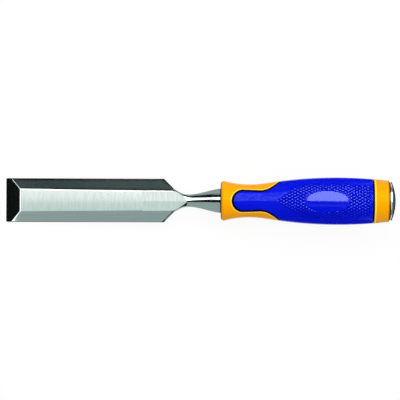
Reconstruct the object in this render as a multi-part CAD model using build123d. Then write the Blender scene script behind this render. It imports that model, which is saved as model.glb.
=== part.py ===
from build123d import *

import math
import os

# Bench chisel with bevelled edges: a forged blade, a two-material handle and a steel cap.
#
# X runs from the cutting edge to the striking cap, Y across the blade and Z up from the flat
# back. The origin is the middle of the cutting edge, on the back. Sizes are millimetres.

# ---- blade: the ground faces
BLADE_WIDTH = 32.0  # across the cutting edge
BLADE_LENGTH = 115.3  # cutting edge to the shoulder corners
EDGE_ANGLE = 25.0  # degrees, the cutting bevel
BEVEL_THICKNESS = 4.55  # where the cutting bevel meets the top face
TOP_SLOPE_ANGLE = 0.24  # degrees, the top face rises towards the handle
SIDE_LAND = 1.85  # height of the upright strip along each side
SIDE_BEVEL_ANGLE = 20.0  # degrees, the long bevels
SHOULDER_ANGLE = 45.0  # degrees, the corners behind the parallel stretch
SHOULDER_CHAMFER = 0.9  # along the shoulders' upper edges
RUN_OUT_RADIUS = 4.0  # where the grinding wheel lifts off at the neck

# ---- blade: neck, bolster and tang
AXIS_HEIGHT = 2.45  # handle axis above the flat back
FUNNEL_HALF_WIDTH = 8.4  # where the shoulders run into the neck
FUNNEL_HALF_DEPTH = 5.4  # half depth of the unground forging at that place
FUNNEL_LENGTH = 10.3  # from there to the thinnest place
FUNNEL_ROOT = 2.0  # how far the forging's oval reaches into the flat blade
NECK_HALF_WIDTH = 4.15
NECK_HALF_DEPTH = 2.6
CONE_LENGTH = 24.1  # thinnest place to the handle's front face
BOLSTER_RADIUS = 8.9  # where the cone enters the handle
BOLSTER_SINK = 1.6  # depth of the bolster's foot in the handle
TANG_LENGTH = 58.0  # behind the bolster's foot
TANG_ROOT = 7.6  # square section at the bolster
TANG_TIP = 4.8  # square section where the point begins
TANG_POINT = 4.0  # length of the pointed end
BARB_PITCH = 11.0
BARB_DEPTH = 0.9

# ---- handle: the turned outside
HANDLE_LENGTH = 123.2  # front face to rear face
FLARE_HALF_WIDTH = 15.3  # at the front face
WAIST_FROM_FRONT = 21.2
WAIST_HALF_WIDTH = 12.0
BELLY_FROM_REAR = 38.0  # rear face to the thickest place
BELLY_HALF_WIDTH = 17.37
REAR_HALF_WIDTH = 15.1  # at the rear face, and as far in front of the belly
FRONT_CHAMFER = 1.5
REAR_CHAMFER = 0.7

# ---- handle: the soft grip
GRIP_WALL = 2.8  # where it is thinnest
TONGUE_TIP = 8.4  # front face to the tip of the tongue
TONGUE_RADIUS = 8.15  # the tongue's round nose
TONGUE_LENGTH = 20.1  # tip to the narrow place behind the nose
TONGUE_NECK_HALF_WIDTH = 7.85
SPREAD_RADIUS = 15.0  # where the seam turns outwards behind the tongue
SPREAD_ANGLE = 33.7  # degrees from the axis, the seam's straight run to the handle's side
REAR_BAND = 11.2  # width of bare core behind the grip
SEAM_GAP = 0.5  # width of the groove round the grip

# ---- striking cap
CAP_RADIUS = 14.2
CAP_RIM = 1.9  # height of the upright rim
CAP_RISE = 4.8  # rear face to the top of the dome
CAP_CHAMFER = 0.4
STEM_RADIUS = 5.0
STEM_LENGTH = 26.0
STEM_GROOVE_FROM_REAR = 16.0  # rear face to the middle of the groove
STEM_GROOVE_WIDTH = 5.0
STEM_GROOVE_DEPTH = 1.2

# ---- places that follow from the sizes
SHOULDER_LENGTH = (BLADE_WIDTH / 2 - FUNNEL_HALF_WIDTH) / math.tan(
    math.radians(SHOULDER_ANGLE)
)
FUNNEL = BLADE_LENGTH + SHOULDER_LENGTH
NECK = FUNNEL + FUNNEL_LENGTH
FRONT = NECK + CONE_LENGTH
WAIST = FRONT + WAIST_FROM_FRONT
REAR = FRONT + HANDLE_LENGTH
BELLY = REAR - BELLY_FROM_REAR
SWELL = REAR - 2 * BELLY_FROM_REAR
GRIP_END = REAR - REAR_BAND
FLARE_FALL = FLARE_HALF_WIDTH - WAIST_HALF_WIDTH
FLARE_RADIUS = (WAIST_FROM_FRONT**2 + FLARE_FALL**2) / (2 * FLARE_FALL)
BELLY_RISE = BELLY_HALF_WIDTH - REAR_HALF_WIDTH
BELLY_RADIUS = (BELLY_FROM_REAR**2 + BELLY_RISE**2) / (2 * BELLY_RISE)
SWELL_SLOPE = BELLY_FROM_REAR / (BELLY_RADIUS - BELLY_RISE)
BEYOND = BLADE_WIDTH + 2 * BELLY_HALF_WIDTH  # cutting bodies reach past the part


def flow(x, start, end):
    """A smooth curve between two stations, each a place, a size and a slope."""
    x0, size0, slope0 = start
    x1, size1, slope1 = end
    length = x1 - x0
    t = (x - x0) / length
    s = 1 - t
    return (
        size0 * s * s * (1 + 2 * t)
        + size1 * t * t * (3 - 2 * t)
        + length * s * t * (slope0 * s - slope1 * t)
    )


def flow_places(stations, steps):
    """Places and sizes along a chain of stations, with so many steps to each stretch."""
    places = []
    for start, end in zip(stations, stations[1:]):
        for n in range(steps):
            x = start[0] + (end[0] - start[0]) * n / steps
            places.append((x, flow(x, start, end)))
    return places + [stations[-1][:2]]


def across(x):
    """The plane across the handle axis at x."""
    return Plane(origin=(x, 0, AXIS_HEIGHT), x_dir=(0, 1, 0), z_dir=(1, 0, 0))


def oval(x, half_width, half_depth):
    return across(x) * Ellipse(half_width, half_depth)


def turned(profile):
    """The solid turned round the handle axis by a profile drawn along it."""
    return Pos(0, 0, AXIS_HEIGHT) * revolve(profile, Axis.X)


def disc(x, radius, thickness):
    """A round disc on the handle axis, centred at x."""
    return Pos(x, 0, AXIS_HEIGHT) * Rot(0, 90, 0) * Cylinder(radius, thickness)


def square(x, size):
    return across(x) * Rectangle(size, size)


def upright_prism(face):
    """A plan outline carried through the whole depth of the part."""
    return Pos(0, 0, -BEYOND) * extrude(face, 2 * BEYOND)


def both_sides(shape):
    """A shape and its mirror image across the middle plane."""
    return shape + mirror(shape, Plane.XZ)


# ---- blade
def top_height(x):
    """Height of the ground top face at x."""
    bevel_length = BEVEL_THICKNESS / math.tan(math.radians(EDGE_ANGLE))
    return BEVEL_THICKNESS + math.tan(math.radians(TOP_SLOPE_ANGLE)) * (x - bevel_length)


def blade_bar():
    """The flat bar with its angled shoulders, before grinding. Its point lies in the neck."""
    half = BLADE_WIDTH / 2
    point = BLADE_LENGTH + half / math.tan(math.radians(SHOULDER_ANGLE))
    outline = Polyline(
        (0, -half), (BLADE_LENGTH, -half), (point, 0), (BLADE_LENGTH, half), (0, half),
        close=True,
    )
    return extrude(make_face(outline), top_height(point) + 1)


def forged_neck():
    """Funnel, neck and cone as forged: ovals that turn round where they enter the handle."""
    funnel_slope = (NECK_HALF_WIDTH - FUNNEL_HALF_WIDTH) / FUNNEL_LENGTH
    cone_slope = (BOLSTER_RADIUS - NECK_HALF_WIDTH) / CONE_LENGTH
    widths = [
        (FUNNEL, FUNNEL_HALF_WIDTH, 1.65 * funnel_slope),
        (NECK, NECK_HALF_WIDTH, 0),
        (FRONT, BOLSTER_RADIUS, 1.1 * cone_slope),
    ]
    depths = [
        (FUNNEL, FUNNEL_HALF_DEPTH, 0),
        (NECK, NECK_HALF_DEPTH, 0),
        (FRONT, BOLSTER_RADIUS, 1.4 * cone_slope),
    ]
    root_half_width = FUNNEL_HALF_WIDTH - FUNNEL_ROOT * widths[0][2]
    sections = [oval(FUNNEL - FUNNEL_ROOT, root_half_width, FUNNEL_HALF_DEPTH)]
    for (x, half_width), (_, half_depth) in zip(flow_places(widths, 5), flow_places(depths, 5)):
        sections.append(oval(x, half_width, half_depth))
    return loft(sections) + extrude(sections[-1], BOLSTER_SINK)


def wheel_pass(height_at_tip, height_at_neck, side):
    """What a grinding wheel takes off above (side 1) or below (side -1) a lengthwise plane.
    The wheel lifts off behind the neck on its own radius."""
    lift = RUN_OUT_RADIUS
    start = -lift
    tip = (start, height_at_tip)
    neck = (NECK, height_at_neck)
    lifted = (NECK + lift, height_at_neck + side * lift)
    outline = [
        Line(tip, neck),
        RadiusArc(neck, lifted, -side * lift),
        Polyline(lifted, (NECK + lift, side * BEYOND), (start, side * BEYOND), tip),
    ]
    return extrude(Plane.XZ * make_face(outline), BEYOND, both=True)


def side_bevel_cut():
    """One long bevel, which rises inwards from the top of the side land."""
    half = BLADE_WIDTH / 2
    climb = math.tan(math.radians(SIDE_BEVEL_ANGLE))
    outline = Polyline(
        (half + 1, SIDE_LAND - climb),
        (0, SIDE_LAND + half * climb),
        (0, BEYOND),
        (half + 1, BEYOND),
        close=True,
    )
    start = Plane(origin=(-1, 0, 0), x_dir=(0, 1, 0), z_dir=(1, 0, 0))
    return extrude(start * make_face(outline), FUNNEL + FUNNEL_LENGTH / 2 + 1)


def shoulder_chamfer():
    """The chamfer along the upper edge of one shoulder, where it meets the long bevel."""
    size = SHOULDER_CHAMFER
    angle = math.radians(SHOULDER_ANGLE)
    climb = math.tan(math.radians(SIDE_BEVEL_ANGLE))
    outline = Polyline(
        (0, -size),
        (-size, climb * size * math.cos(angle)),
        (-size, BEYOND),
        (BEYOND, BEYOND),
        (BEYOND, -size),
        close=True,
    )
    corner = Plane(
        origin=(BLADE_LENGTH, BLADE_WIDTH / 2, SIDE_LAND),
        x_dir=(math.sin(angle), math.cos(angle), 0),
        z_dir=(math.cos(angle), -math.sin(angle), 0),
    )
    along_edge = Vector(math.cos(angle), -math.sin(angle), climb * math.sin(angle))
    face = corner * make_face(outline)
    ahead = 1.5 * SHOULDER_LENGTH / math.cos(angle)
    return extrude(face, ahead, dir=along_edge) + extrude(face, 2 * size, dir=-along_edge)


def cutting_bevel_cut():
    """The cutting bevel, from nothing at the edge to the full thickness."""
    climb = math.tan(math.radians(EDGE_ANGLE))
    outline = Polyline(
        (-1, -climb), (BEYOND, BEYOND * climb), (-1, BEYOND * climb), close=True
    )
    return extrude(Plane.XZ * make_face(outline), BEYOND, both=True)


def tang():
    """A square tang that tapers to a point, with barbs that the moulded core grips."""
    foot = FRONT + BOLSTER_SINK
    body_end = foot + TANG_LENGTH - TANG_POINT
    body = loft([square(foot - 1, TANG_ROOT), square(body_end, TANG_TIP)], ruled=True)
    point = [square(body_end, TANG_TIP), square(body_end + TANG_POINT, TANG_TIP / 2)]
    body += loft(point, ruled=True)
    for n in range(1, int((body_end - foot) // BARB_PITCH) + 1):
        x = foot + n * BARB_PITCH
        share = (x - foot) / (body_end - foot)
        half = (TANG_ROOT + share * (TANG_TIP - TANG_ROOT)) / 2
        notch = Polyline(
            (x, half - BARB_DEPTH),
            (x, half + BARB_DEPTH),
            (x - 4 * BARB_DEPTH, half + BARB_DEPTH),
            close=True,
        )
        body -= both_sides(upright_prism(make_face(notch)))
    return body


def make_blade():
    bar = blade_bar() - both_sides(shoulder_chamfer())
    blade = bar + forged_neck()
    blade -= wheel_pass(top_height(-RUN_OUT_RADIUS), top_height(NECK), 1)
    blade -= wheel_pass(0, 0, -1)
    blade -= both_sides(side_bevel_cut())
    blade -= cutting_bevel_cut()
    return blade + tang()


# ---- handle
def handle_radius(x):
    """The handle's radius at x: an arc for the flare, a smooth curve from the waist to the
    swell, and an arc for the belly, each tangent to the next."""
    if x < WAIST:
        return WAIST_HALF_WIDTH + FLARE_RADIUS - math.sqrt(FLARE_RADIUS**2 - (WAIST - x) ** 2)
    if x < SWELL:
        waist = (WAIST, WAIST_HALF_WIDTH, 0)
        return flow(x, waist, (SWELL, REAR_HALF_WIDTH, SWELL_SLOPE))
    return BELLY_HALF_WIDTH - BELLY_RADIUS + math.sqrt(BELLY_RADIUS**2 - (x - BELLY) ** 2)


def on_handle(x):
    """The point of the handle's outline at x."""
    return (x, handle_radius(x))


def handle_front():
    """The handle from its chamfered front rim to the swell, solid."""
    rim = FRONT + FRONT_CHAMFER
    third = (SWELL - WAIST) / 3
    outline = [
        Polyline((SWELL, 0), (FRONT, 0), (FRONT, handle_radius(rim) - FRONT_CHAMFER), on_handle(rim)),
        RadiusArc(on_handle(rim), on_handle(WAIST), -FLARE_RADIUS),
        Bezier(
            on_handle(WAIST),
            (WAIST + third, WAIST_HALF_WIDTH),
            (SWELL - third, REAR_HALF_WIDTH - third * SWELL_SLOPE),
            on_handle(SWELL),
        ),
        Line(on_handle(SWELL), (SWELL, 0)),
    ]
    return turned(make_face(outline))


def seat_steps():
    """The core under the grip as plain cylinders, each a start and a radius. Their steps hold
    the grip lengthwise."""
    widest = 2 * BELLY - GRIP_END
    return [
        (FRONT, WAIST_HALF_WIDTH - GRIP_WALL),
        (SWELL, REAR_HALF_WIDTH - GRIP_WALL),
        (widest, handle_radius(GRIP_END) - GRIP_WALL),
    ]


def core_rear():
    """The core from the swell to its chamfered rear rim."""
    (_, swell_seat), (widest, belly_seat) = seat_steps()[1:]
    rim = REAR - REAR_CHAMFER
    outline = [
        Polyline(
            (SWELL, 0),
            (SWELL, swell_seat),
            (widest, swell_seat),
            (widest, belly_seat),
            (GRIP_END, belly_seat),
            on_handle(GRIP_END),
        ),
        RadiusArc(on_handle(GRIP_END), on_handle(rim), BELLY_RADIUS),
        Polyline(on_handle(rim), (REAR, handle_radius(rim) - REAR_CHAMFER), (REAR, 0), (SWELL, 0)),
    ]
    return turned(make_face(outline))


def grip_rear():
    """The grip from the swell to the groove at its rear end."""
    (_, swell_seat), (widest, belly_seat) = seat_steps()[1:]
    end = GRIP_END - SEAM_GAP
    outline = [
        RadiusArc(on_handle(SWELL), on_handle(end), BELLY_RADIUS),
        Polyline(
            on_handle(end),
            (end, belly_seat),
            (widest, belly_seat),
            (widest, swell_seat),
            (SWELL, swell_seat),
            on_handle(SWELL),
        ),
    ]
    return turned(make_face(outline))


def tongue_region():
    """Plan outline of the grip in front of the belly: a round-nosed tongue that points at the
    blade and spreads to both sides of the handle."""
    tip = FRONT + TONGUE_TIP
    nose_end = (tip + TONGUE_RADIUS, TONGUE_RADIUS)
    neck = (tip + TONGUE_LENGTH, TONGUE_NECK_HALF_WIDTH)
    angle = math.radians(SPREAD_ANGLE)
    spread = (
        neck[0] + SPREAD_RADIUS * math.sin(angle),
        neck[1] + SPREAD_RADIUS * (1 - math.cos(angle)),
    )
    outer = 2 * BELLY_HALF_WIDTH
    past_side = (spread[0] + (outer - spread[1]) / math.tan(angle), outer)
    outline = [
        RadiusArc((tip, 0), nose_end, TONGUE_RADIUS),
        Line(nose_end, neck),
        RadiusArc(neck, spread, -SPREAD_RADIUS),
        Polyline(spread, past_side, (REAR, outer), (REAR, 0), (tip, 0)),
    ]
    region = make_face(outline)
    return region + mirror(region, Plane.XZ)


def cap_stem():
    """The cap's stem, with a groove that the core fills."""
    groove = REAR - STEM_GROOVE_FROM_REAR
    half_groove = STEM_GROOVE_WIDTH / 2
    outline = Polyline(
        (REAR - STEM_LENGTH, 0),
        (REAR - STEM_LENGTH, STEM_RADIUS),
        (groove - half_groove, STEM_RADIUS),
        (groove - half_groove, STEM_RADIUS - STEM_GROOVE_DEPTH),
        (groove + half_groove, STEM_RADIUS - STEM_GROOVE_DEPTH),
        (groove + half_groove, STEM_RADIUS),
        (REAR, STEM_RADIUS),
        (REAR, 0),
        close=True,
    )
    return turned(make_face(outline))


def make_cap():
    """A domed steel cap on its stem. The dome is part of a ball, with a chamfered rim."""
    dome = CAP_RISE - CAP_RIM
    ball_radius = (CAP_RADIUS**2 + dome**2) / (2 * dome)
    outline = Polyline(
        (REAR, 0),
        (REAR, CAP_RADIUS),
        (REAR + CAP_RIM - CAP_CHAMFER, CAP_RADIUS),
        (REAR + CAP_RISE, CAP_RADIUS - CAP_CHAMFER - dome),
        (REAR + CAP_RISE, 0),
        close=True,
    )
    ball = Pos(REAR + CAP_RISE - ball_radius, 0, AXIS_HEIGHT) * Sphere(ball_radius)
    return (cap_stem() + turned(make_face(outline))) & ball


def make_handle(blade):
    """The hard core, moulded round tang and stem, and the soft grip moulded over it."""
    front = handle_front()
    _, seat_radius = seat_steps()[0]
    seat = disc((FRONT + SWELL) / 2, seat_radius, SWELL - FRONT)
    pocket = upright_prism(tongue_region())
    tongue = upright_prism(offset(tongue_region(), -SEAM_GAP))
    core = (front - pocket) + seat + core_rear() - blade - cap_stem()
    grip = ((front & tongue) - seat) + grip_rear()
    return core, grip


def main():
    os.makedirs("parts", exist_ok=True)
    blade = make_blade()
    core, grip = make_handle(blade)
    parts = {
        "blade": blade,
        "handle_core": core,
        "grip_sleeve": grip,
        "strike_cap": make_cap(),
    }
    for name, shape in parts.items():
        export_step(shape, f"parts/{name}.step")
        box = shape.bounding_box()
        print(
            name,
            f"{len(shape.solids())} solid, {shape.volume:.0f} mm3,",
            f"X {box.min.X:.2f} to {box.max.X:.2f},",
            f"Y {box.min.Y:.2f} to {box.max.Y:.2f},",
            f"Z {box.min.Z:.2f} to {box.max.Z:.2f}",
        )


main()
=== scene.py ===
# Bench chisel: ground and forged blade, two-colour moulded handle, domed steel striking cap.
# Lengths in the dictionaries are millimetres and angles are degrees; meshes are in metres.
import math
from functools import partial

import bmesh
import bpy
import numpy as np
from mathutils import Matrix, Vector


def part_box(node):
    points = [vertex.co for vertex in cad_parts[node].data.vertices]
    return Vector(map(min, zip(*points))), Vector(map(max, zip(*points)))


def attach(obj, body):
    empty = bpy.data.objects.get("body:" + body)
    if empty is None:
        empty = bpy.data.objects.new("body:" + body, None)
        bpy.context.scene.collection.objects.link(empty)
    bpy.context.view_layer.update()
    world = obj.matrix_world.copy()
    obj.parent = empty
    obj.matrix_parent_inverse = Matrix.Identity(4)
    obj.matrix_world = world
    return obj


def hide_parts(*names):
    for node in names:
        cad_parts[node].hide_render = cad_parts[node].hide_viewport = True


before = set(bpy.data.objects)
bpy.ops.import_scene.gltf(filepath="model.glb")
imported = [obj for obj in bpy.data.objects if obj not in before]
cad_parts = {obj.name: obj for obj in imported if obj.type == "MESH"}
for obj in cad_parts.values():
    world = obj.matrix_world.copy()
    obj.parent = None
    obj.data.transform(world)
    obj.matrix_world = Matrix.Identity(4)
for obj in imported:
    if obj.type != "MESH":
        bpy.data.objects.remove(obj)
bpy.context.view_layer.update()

mm = 0.001
bladeLow, bladeHigh = (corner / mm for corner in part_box("blade"))
capLow, capHigh = (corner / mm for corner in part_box("strike_cap"))
frontX, rearX = ((corner / mm).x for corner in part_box("handle_core"))  # the handle's two faces
gripEndX = (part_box("grip_sleeve")[1] / mm).x
axisHeight = (capLow.z + capHigh.z) / 2  # the handle's axis above the blade's flat back
print("frame loaded, handle from", round(frontX, 2), "to", round(rearX, 2))


def ring(count):
    # angles all the way round the axis, 0 at the top and growing towards +Y
    return np.linspace(0, 2 * np.pi, count, endpoint=False)


def roundAxis(x, radius, angle):
    # a point at each angle round the handle's axis: y is r sin a, z is the axis plus r cos a
    x, radius, angle = np.broadcast_arrays(x, radius, angle)
    return np.stack([x, radius * np.sin(angle), axisHeight + radius * np.cos(angle)], axis=-1)


def grid(rows):
    # rows of x, angle and radius, as one array of each
    return np.stack([np.broadcast_arrays(*row) for row in rows], axis=1)


def turned(profile, count):
    # a profile of x and radius, swept round the axis, gives one row of points for each step
    profile = np.asarray(profile, float)
    return roundAxis(profile[:, :1], profile[:, 1:], ring(count)[None, :])


def arc(centre, radius, start, end, steps):
    # points of a circle about centre from one angle to another
    angle = np.radians(np.linspace(start, end, steps))
    return np.stack([centre[0] + radius * np.cos(angle), centre[1] + radius * np.sin(angle)], -1)


def quads(shape, closed, first):
    # corners of the quads between neighbouring points of a grid that closes across its columns,
    # and across its rows too where the surface comes back to its first row
    index = first + np.arange(shape[0] * shape[1]).reshape(shape[:2])
    below = np.roll(index, -1, axis=0) if closed else index[1:]
    above = index if closed else index[:-1]
    corners = [above, np.roll(above, -1, axis=1), np.roll(below, -1, axis=1), below]
    return np.stack(corners, axis=-1).reshape(-1, 4)


def newObject(name, data):
    # an object in the scene that holds the given mesh, lamp or camera
    thing = bpy.data.objects.new(name, data)
    bpy.context.collection.objects.link(thing)
    return thing


def newPiece(name, points, faces, material):
    # a mesh of points in millimetres
    mesh = bpy.data.meshes.new(name)
    mesh.from_pydata((np.array(points) * mm).tolist(), [], faces)
    mesh.materials.append(material)
    return newObject(name, mesh)


def surfacePiece(name, node, grids, material, values=None):
    # closed grids of points in millimetres become one object, with values for each point. Rows of
    # equal points at a pole are merged
    first, faces = 0, []
    for points, closed in grids:
        faces.append(quads(points.shape, closed, first))
        first += points.shape[0] * points.shape[1]
    vertices = np.concatenate([points.reshape(-1, 3) for points, _ in grids])
    piece = newPiece(name, vertices, np.concatenate(faces).tolist(), material)
    mesh = piece.data
    for label, amount in (values or {}).items():
        layer = mesh.attributes.new(label, "FLOAT", "POINT")
        layer.data.foreach_set("value", np.ascontiguousarray(amount, dtype=np.float32).ravel())
    tidy = bmesh.new()
    tidy.from_mesh(mesh)
    bmesh.ops.remove_doubles(tidy, verts=tidy.verts, dist=1e-7)
    bmesh.ops.recalc_face_normals(tidy, faces=tidy.faces)
    tidy.to_mesh(mesh)
    tidy.free()
    mesh.validate()
    mesh.polygons.foreach_set("use_smooth", np.ones(len(mesh.polygons), dtype=bool))
    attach(piece, "root")
    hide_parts(node)
    print(name, len(mesh.polygons), "faces")


def linearColour(hexValue):
    # an sRGB hex colour as linear light
    parts = [int(hexValue[n:n + 2], 16) / 255 for n in (1, 3, 5)]
    parts = [p / 12.92 if p <= 0.04045 else ((p + 0.055) / 1.055) ** 2.4 for p in parts]
    return (*parts, 1.0)


def addNode(tree, kind, sockets=None, **settings):
    # a socket takes a plain value, a hex colour, an output, or a node, which gives its first live
    # output
    node = tree.nodes.new("ShaderNode" + kind)
    for name, value in settings.items():
        setattr(node, name, value)
    for name, value in (sockets or {}).items():
        if isinstance(value, bpy.types.Node):
            value = next(output for output in value.outputs if output.enabled)
        if isinstance(value, str):
            value = linearColour(value)
        if isinstance(value, bpy.types.NodeSocket):
            tree.links.new(value, node.inputs[name])
        else:
            node.inputs[name].default_value = value
    return node


def newMaterial(name, shade):
    # shade is given the function that adds nodes, and returns its shader
    material = bpy.data.materials.new(name)
    material.use_nodes = True
    material.node_tree.nodes.clear()
    add = partial(addNode, material.node_tree)
    add("OutputMaterial", {"Surface": shade(add)})
    return material


bladeLook = {
    "steel": "#e4eeeb",
    "dark": "#bfcac7",
    "seat": "#2a2a20",  # painted shade in the joint with the handle
    "jointShadeFrom": 0.9,  # where the painted shade begins in front of the handle, and where it is full
    "jointShadeFull": 0.2,
    "roughness": 0.19,
    "bevelRoughness": 0.1,
    "groundEnd": (124, 130),  # the grinding fades out between these
    "markSpacing": 1.3,  # grinding marks, really about 0.1 mm, drawn coarse enough to show
    "markDetail": {"Scale": 1.0, "Detail": 5.0, "Roughness": 0.62},
    "markDepth": 0.003,
}


def groundSteel(add):
    # chrome-vanadium tool steel, surface ground and polished: bright, with fine marks across the
    # flat face and along the bevels, where the wheel travelled
    look = bladeLook
    place = add("TexCoord").outputs["Object"]
    normal = add("NewGeometry").outputs["Normal"]
    facing = add("SeparateXYZ", {0: normal}).outputs["Z"]
    # 1 where the steel faces straight up
    flat = add("MapRange", {"Value": facing, "From Min": 0.985, "From Max": 0.995})
    perMetre = 1 / (look["markSpacing"] * mm)
    acrossMarks, alongMarks = (
        add("TexNoise", {
            "Vector": add("Mapping", {"Vector": place, "Scale": scale}), **look["markDetail"]})
        for scale in ((perMetre, perMetre / 7, perMetre),
                      (perMetre / 30, perMetre * 1.6, perMetre * 1.6)))
    marks = add("Mix", {0: flat, 2: alongMarks, 3: acrossMarks}, data_type="FLOAT")
    tint = add("Mix", {0: marks, 6: look["dark"], 7: look["steel"]}, data_type="RGBA")
    alongX = add("SeparateXYZ", {0: place}).outputs["X"]
    # painted shade: the steel turns dark just in front of the handle, where the joint lies in
    # shade
    seat = add("MapRange", {
        "Value": alongX, "From Min": (frontX - look["jointShadeFrom"]) * mm,
        "From Max": (frontX - look["jointShadeFull"]) * mm})
    tint = add("Mix", {0: seat, 6: tint, 7: look["seat"]}, data_type="RGBA")
    fadeStart, fadeEnd = look["groundEnd"]
    ground = add("MapRange", {
        "Value": alongX, "From Min": fadeStart * mm, "From Max": fadeEnd * mm, "To Min": 1.0,
        "To Max": 0.0})
    broad = add("Math", {0: ground, 1: flat}, operation="MULTIPLY")
    base = add("Mix", {
        0: broad, 2: look["bevelRoughness"], 3: look["roughness"]}, data_type="FLOAT")
    vary = add("MapRange", {
        "Value": marks, "From Min": 0.3, "From Max": 0.7, "To Min": 1.2, "To Max": 0.8})
    rough = add("Math", {0: base, 1: vary}, operation="MULTIPLY")
    strength = add("MapRange", {"Value": ground, "To Min": 0.08, "To Max": 0.5})
    bump = add("Bump", {"Height": marks, "Strength": strength, "Distance": look["markDepth"] * mm})
    return add("BsdfPrincipled", {
        "Base Color": tint, "Metallic": 1.0, "Roughness": rough, "Normal": bump})


capLook = {
    "steel": "#c9cfcc",
    "roughness": 0.12,
    "ringSpacing": 0.5,
    "ringDepth": 0.002,
}


def turnedSteel(add):
    # mild steel, turned and polished: a mirror with the faintest rings round its middle
    look = capLook
    place = add("TexCoord").outputs["Object"]
    centred = add("Mapping", {
        "Vector": place, "Location": (0, 0, -axisHeight * mm), "Scale": (0, 1, 1)})
    distance = add("VectorMath", {0: centred}, operation="LENGTH")
    ringPlace = add("CombineXYZ", {"X": distance})
    rings = add("TexNoise", {
        "Vector": ringPlace, "Scale": 1 / (look["ringSpacing"] * mm), "Detail": 3.0})
    rough = add("MapRange", {
        "Value": rings, "To Min": look["roughness"] * 0.7, "To Max": look["roughness"] * 1.5})
    bump = add("Bump", {"Height": rings, "Strength": 0.4, "Distance": look["ringDepth"] * mm})
    return add("BsdfPrincipled", {
        "Base Color": look["steel"], "Metallic": 1.0, "Roughness": rough, "Normal": bump})


coreLook = {
    "yellow": "#f6a401",
    "deep": "#f09b01",
    # painted highlight along the raised lips at the seams
    "lipHighlight": "#fbdc4e",
    # painted shade for the seam's groove, the hole round the bolster, the front rim and the rear
    # edge
    "groove": "#160a02",
    "shineTint": "#ffcc28",
    "shine": 0.18,
    "roughness": 0.36,
    "cloudSize": 14.0,
    "grainSize": 0.5,  # the satin of the mould, really about 0.1 mm
    "grainDepth": 0.012,
}


def mouldedPlastic(add):
    # polypropylene, injection moulded in a satin mould: an even warm yellow with a soft shine
    look = coreLook
    place = add("TexCoord").outputs["Object"]
    clouds = add("TexNoise", {
        "Vector": place, "Scale": 1 / (look["cloudSize"] * mm), "Detail": 2.0})
    grain = add("TexNoise", {
        "Vector": place, "Scale": 1 / (look["grainSize"] * mm), "Detail": 2.0})
    tint = add("Mix", {0: clouds, 6: look["deep"], 7: look["yellow"]}, data_type="RGBA")
    lipHighlight, groove = (add("Attribute", attribute_name=name).outputs["Fac"]
                   for name in ("lipHighlightShare", "grooveShare"))
    # painted highlight on the lips where their share says so
    edged = add("Mix", {0: lipHighlight, 6: tint, 7: look["lipHighlight"]}, data_type="RGBA")
    # painted shade where its share says so
    colour = add("Mix", {0: groove, 6: edged, 7: look["groove"]}, data_type="RGBA")
    rough = add("MapRange", {
        "Value": grain, "To Min": look["roughness"] * 0.85, "To Max": look["roughness"] * 1.15})
    bump = add("Bump", {"Height": grain, "Strength": 0.35, "Distance": look["grainDepth"] * mm})
    return add("BsdfPrincipled", {
        "Base Color": colour, "Roughness": rough, "IOR": 1.49, "Specular IOR Level": look["shine"],
        "Specular Tint": look["shineTint"], "Normal": bump})


gripLook = {
    "blue": "#0311d0",
    # deeper blue, painted as shade in the valleys between the pips
    "deep": "#020cb4",
    # painted shade for the seam's wall and rounded edge, and the rear edge
    "groove": "#010112",
    "shineTint": "#a4baff",
    "padTint": "#e0f2ff",
    "sheenSize": 1.5,  # patches of the textured mould that shine more or less
    "sheen": (0.06, 0.24),  # the least and the most that they shine
    "pipShine": 1.0,
    "padShine": 0.42,
    "roughness": 0.15,
    "padRoughness": 0.1,
    "grainSize": 0.6,
    "grainDepth": 0.02,
}


def mouldedRubber(add):
    # thermoplastic rubber, injection moulded: matte from its textured mould, and glossy only on
    # the smooth oval pad and the tops of the pips
    look = gripLook
    place = add("TexCoord").outputs["Object"]
    pad, pip, valley, groove = (
        add("Attribute", attribute_name=name + "Share").outputs["Fac"]
        for name in ("pad", "pip", "valley", "groove"))
    grain = add("TexNoise", {
        "Vector": place, "Scale": 1 / (look["grainSize"] * mm), "Detail": 3.0})
    # painted shade: the valleys between the pips take the deeper blue
    tint = add("Mix", {0: valley, 6: look["blue"], 7: look["deep"]}, data_type="RGBA")
    # painted shade where its share says so
    colour = add("Mix", {0: groove, 6: tint, 7: look["groove"]}, data_type="RGBA")
    body = add("MapRange", {
        "Value": grain, "To Min": look["roughness"] * 0.85, "To Max": look["roughness"] * 1.15})
    polished = add("Math", {0: pad, 1: pip}, operation="MAXIMUM")
    rough = add("Mix", {0: polished, 2: body, 3: look["padRoughness"]}, data_type="FLOAT")
    shine = add("Mix", {0: polished, 6: look["shineTint"], 7: look["padTint"]}, data_type="RGBA")
    uneven = add("TexNoise", {
        "Vector": place, "Scale": 1 / (look["sheenSize"] * mm), "Detail": 3.0})
    least, most = look["sheen"]
    gloss = add("MapRange", {
        "Value": uneven, "From Min": 0.3, "From Max": 0.7, "To Min": least, "To Max": most})
    # pips, pad, valleys and the painted shade each take over from what comes before them
    places = ((pip, look["pipShine"]), (pad, look["padShine"]), (valley, 0.0), (groove, 0.0))
    for share, full in places:
        gloss = add("MapRange", {"Value": share, "To Min": gloss, "To Max": full})
    strength = add("MapRange", {"Value": pad, "To Min": 0.4, "To Max": 0.04})
    bump = add("Bump", {
        "Height": grain, "Strength": strength, "Distance": look["grainDepth"] * mm})
    return add("BsdfPrincipled", {
        "Base Color": colour, "Roughness": rough, "IOR": 1.5, "Specular IOR Level": gloss,
        "Specular Tint": shine, "Normal": bump})


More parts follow.
